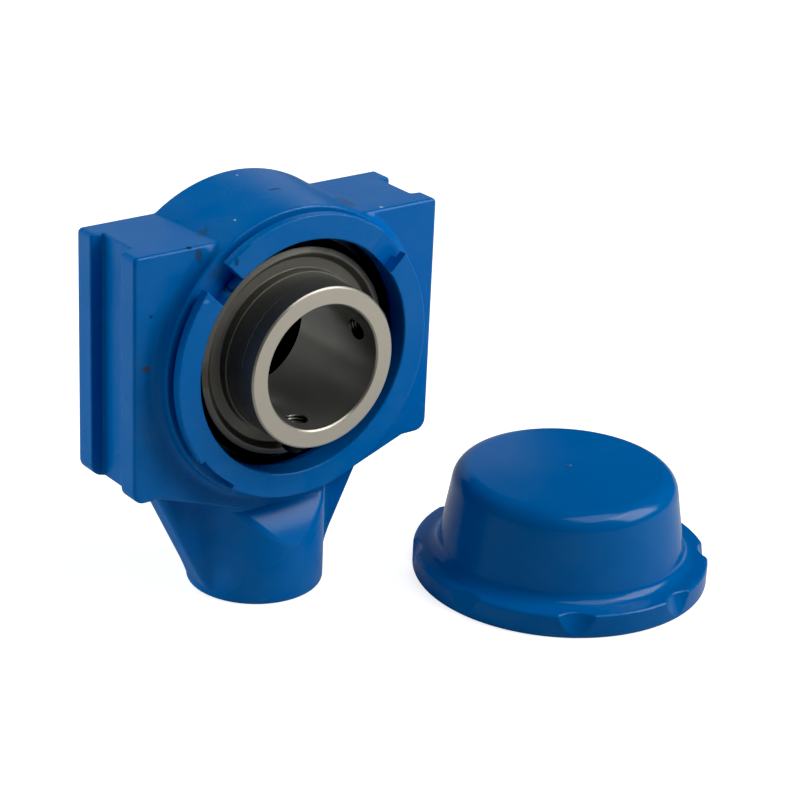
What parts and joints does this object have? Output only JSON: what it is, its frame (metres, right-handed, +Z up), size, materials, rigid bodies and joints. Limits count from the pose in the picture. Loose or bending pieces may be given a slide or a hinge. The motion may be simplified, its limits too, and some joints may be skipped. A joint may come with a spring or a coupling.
{
  "type": "take-up bearing unit",
  "caption": "Take-up bearing unit: blue moulded plastic housing with side guide grooves and a screw boss, a swivelling insert ball bearing, and its domed end cover standing beside it.",
  "frame": {"origin": "centre of the insert bearing: on the shaft's axis, in the plane of the balls", "axes": "-Y along the shaft's axis out of the front, +Z up away from the screw boss, X across the two guide grooves"},
  "size_m": [0.1904, 0.1214, 0.133],
  "materials": {
    "housing_plastic": "satin moulded thermoplastic polyester",
    "cover_plastic": "satin moulded thermoplastic polyester",
    "nut_steel": "turned stainless",
    "ring_steel": "ground stainless",
    "ball_steel": "lapped stainless",
    "cage_plastic": "moulded polyamide",
    "seal_rubber": "moulded nitrile",
    "flinger_steel": "pressed stainless sheet",
    "screw_steel": "turned stainless"
  },
  "bodies": {
    "root": {"housing": "housing_plastic", "adjusting_nut": "nut_steel", "seal_carrier": "flinger_steel", "back_seal": "seal_rubber", "end_cover": "cover_plastic"},
    "insert": {"outer_ring": "ring_steel", "front_seal": "seal_rubber", "rear_seal": "seal_rubber"},
    "shaft_ring": {"inner_ring": "ring_steel", "front_flinger": "flinger_steel"},
    "ball_set": {"cage": "cage_plastic", "ball_1": "ball_steel", "ball_2": "ball_steel", "ball_3": "ball_steel", "ball_4": "ball_steel", "ball_5": "ball_steel", "ball_6": "ball_steel", "ball_7": "ball_steel", "ball_8": "ball_steel", "ball_9": "ball_steel"},
    "screw_1": {"set_screw_1": "screw_steel"},
    "screw_2": {"set_screw_2": "screw_steel"}
  },
  "joints": [
    {"name": "insert_swivel", "type": "hinge", "parent": "root", "child": "insert", "pos_m": [0, 0, 0], "axis": [1, 0, 0], "range_deg": [-5, 5]},
    {"name": "shaft_spin", "type": "hinge", "parent": "insert", "child": "shaft_ring", "pos_m": [0, 0, 0], "axis": [0, 1, 0], "continuous": true},
    {"name": "ball_spin", "type": "hinge", "parent": "insert", "child": "ball_set", "pos_m": [0, 0, 0], "axis": [0, 1, 0], "continuous": true},
    {"name": "screw_1_travel", "type": "slide", "parent": "shaft_ring", "child": "screw_1", "axis": [0.9636, 0, 0.2672], "range_m": [-0.0022, 0.0015]},
    {"name": "screw_2_travel", "type": "slide", "parent": "shaft_ring", "child": "screw_2", "axis": [-0.1132, 0, -0.9936], "range_m": [-0.0022, 0.0015]}
  ],
  "couplings": [
    {"joint": "ball_spin", "follows": "shaft_spin", "ratio": 0.3942}
  ]
}
